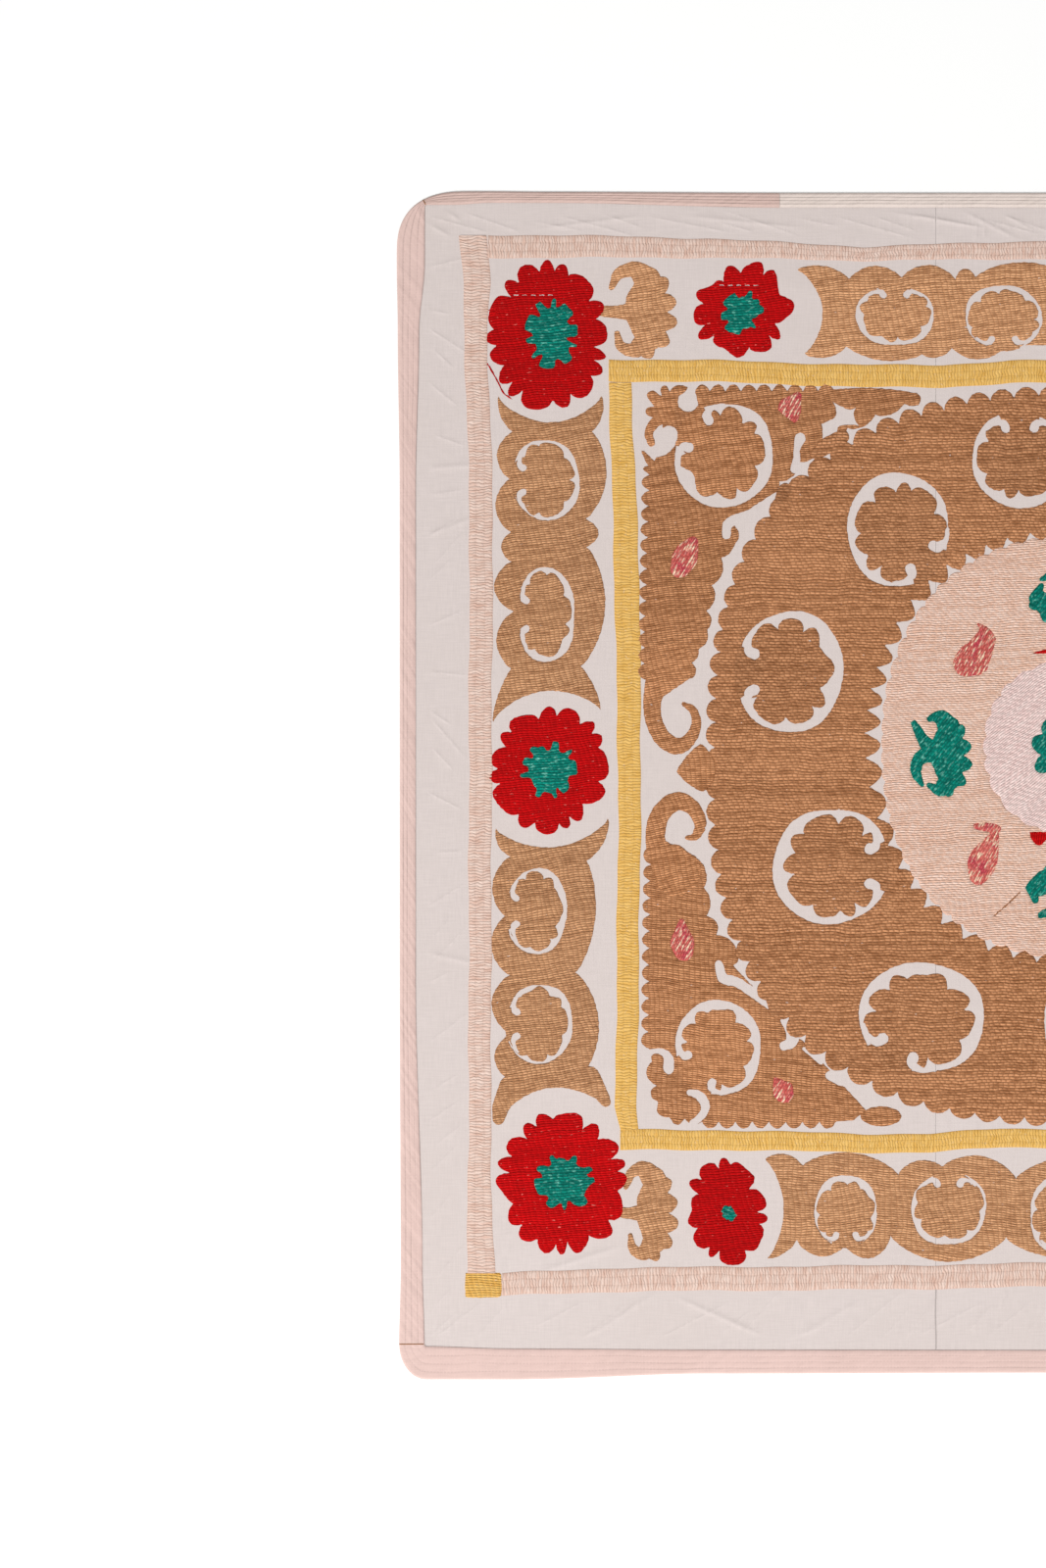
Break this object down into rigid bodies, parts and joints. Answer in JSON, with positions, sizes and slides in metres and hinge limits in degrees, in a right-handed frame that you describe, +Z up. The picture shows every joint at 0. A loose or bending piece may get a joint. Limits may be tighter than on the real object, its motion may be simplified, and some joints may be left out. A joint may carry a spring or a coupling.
{
  "type": "suzani embroidered textile",
  "caption": "Embroidered cotton hanging or cover with a central medallion, flower and scroll borders and a bound edge, lying flat.",
  "frame": {"origin": "on the surface the cloth lies on, under the middle of its outline", "axes": "+X towards the right of the cloth along its longer side, +Y towards its top edge, +Z up out of its embroidered face"},
  "size_m": [1.6488, 1.4544, 0.0029],
  "materials": {
    "ground": "off-white plain-woven cotton",
    "pink_binding": "pale pink plain-woven cotton",
    "cream_binding": "cream plain-woven cotton",
    "brown_thread": "laid and couched brown thread",
    "tan_thread": "laid and couched tan thread",
    "red_thread": "close satin stitch in red thread",
    "green_thread": "close satin stitch in green thread",
    "yellow_thread": "ladder stitch in yellow thread",
    "pink_thread": "ladder and satin stitch in pale pink thread",
    "lilac_thread": "satin stitch in pale lilac thread",
    "coral_thread": "satin stitch in mixed red, salmon and cream thread"
  },
  "bodies": {
    "root": {"ground_left": "ground", "ground_middle": "ground", "ground_right": "ground", "binding_left": "pink_binding", "binding_top_left": "pink_binding", "binding_top_middle": "cream_binding", "binding_top_right": "pink_binding", "binding_right": "pink_binding", "binding_bottom": "pink_binding"}
  },
  "joints": []
}
